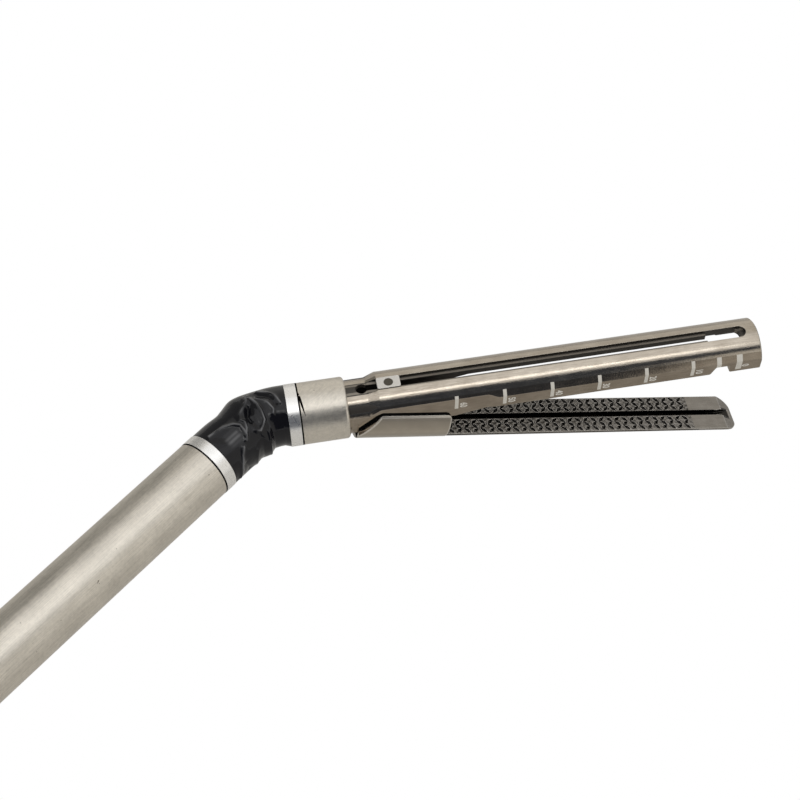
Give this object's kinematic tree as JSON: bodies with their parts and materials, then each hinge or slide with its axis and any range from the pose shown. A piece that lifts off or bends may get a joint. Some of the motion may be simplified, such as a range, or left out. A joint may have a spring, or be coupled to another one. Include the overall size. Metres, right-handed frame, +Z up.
{
  "type": "linear surgical stapler",
  "caption": "Articulated linear stapler working end: tube shaft, film-covered wrist, slotted cartridge channel with length marks and a pivoting anvil with a knife slot.",
  "frame": {"origin": "on the shaft's axis at the shoulder of the rear coupling", "axes": "+X along the shaft towards the jaws, +Z up on the side of the channel's back, +Y to the left"},
  "size_m": [0.2024, 0.0786, 0.0324],
  "materials": {
    "brushed_steel": "brushed stainless steel",
    "bright_band": "bright turned band",
    "channel_steel": "dark polished steel with etched marks",
    "anvil_steel": "dark polished steel with coined pockets",
    "bright_steel": "bright ground steel",
    "rivet_steel": "ground rivet end",
    "inner_steel": "machined steel",
    "spring_steel": "rolled spring steel",
    "black_film": "glossy shrunk film with creases"
  },
  "bodies": {
    "shaft": {"shaft_tube": "brushed_steel", "shaft_band": "bright_band", "shaft_spine": "inner_steel", "wrist_yoke": "inner_steel", "coupling_spigot": "brushed_steel", "coupling_pins": "brushed_steel", "wrist_film": "black_film", "firing_strip": "spring_steel"},
    "firing_rod": {"firing_rod": "inner_steel"},
    "link_left": {"articulation_link_left": "inner_steel"},
    "link_right": {"articulation_link_right": "inner_steel"},
    "head": {"wrist_head": "inner_steel", "wrist_pivot_pins": "inner_steel", "link_pins": "inner_steel", "head_band": "bright_band", "collar": "brushed_steel", "collar_pins": "brushed_steel", "channel": "channel_steel", "anvil_springs": "spring_steel"},
    "anvil": {"anvil": "anvil_steel", "anvil_cap": "anvil_steel", "anvil_hinge_pins": "anvil_steel"},
    "knife": {"firing_beam": "bright_steel", "knife_blade": "bright_steel", "knife_cross_pin": "bright_steel", "guide_foot": "bright_steel", "foot_rivet": "rivet_steel"}
  },
  "joints": [
    {"name": "articulation", "type": "hinge", "parent": "shaft", "child": "head", "pos_m": [0.104, 0, 0], "axis": [0, 0, 1], "range_deg": [-5, 85], "deforming": ["wrist_film", "firing_strip"]},
    {"name": "link_left_slide", "type": "slide", "parent": "shaft", "child": "link_left", "axis": [1, 0, 0], "range_m": [-0.00387, 0.00023]},
    {"name": "link_right_slide", "type": "slide", "parent": "shaft", "child": "link_right", "axis": [1, 0, 0], "range_m": [-0.00023, 0.00387]},
    {"name": "firing", "type": "slide", "parent": "shaft", "child": "firing_rod", "axis": [1, 0, 0], "range_m": [0, 0.062]},
    {"name": "knife_travel", "type": "slide", "parent": "head", "child": "knife", "axis": [0.766, -0.6428, 0], "range_m": [0, 0.062]},
    {"name": "jaw_closing", "type": "hinge", "parent": "head", "child": "anvil", "pos_m": [0.11763, -0.01144, 0], "axis": [-0.6428, -0.766, 0], "range_deg": [0, 12.4], "stiffness_Nm_per_rad": 0.05, "springref_deg": -34.38, "deforming": ["anvil_springs"]}
  ],
  "couplings": [
    {"joint": "link_left_slide", "follows": "articulation", "m_per_rad": -0.0026109},
    {"joint": "link_right_slide", "follows": "articulation", "m_per_rad": 0.0026109},
    {"joint": "knife_travel", "follows": "firing", "ratio": 1}
  ]
}
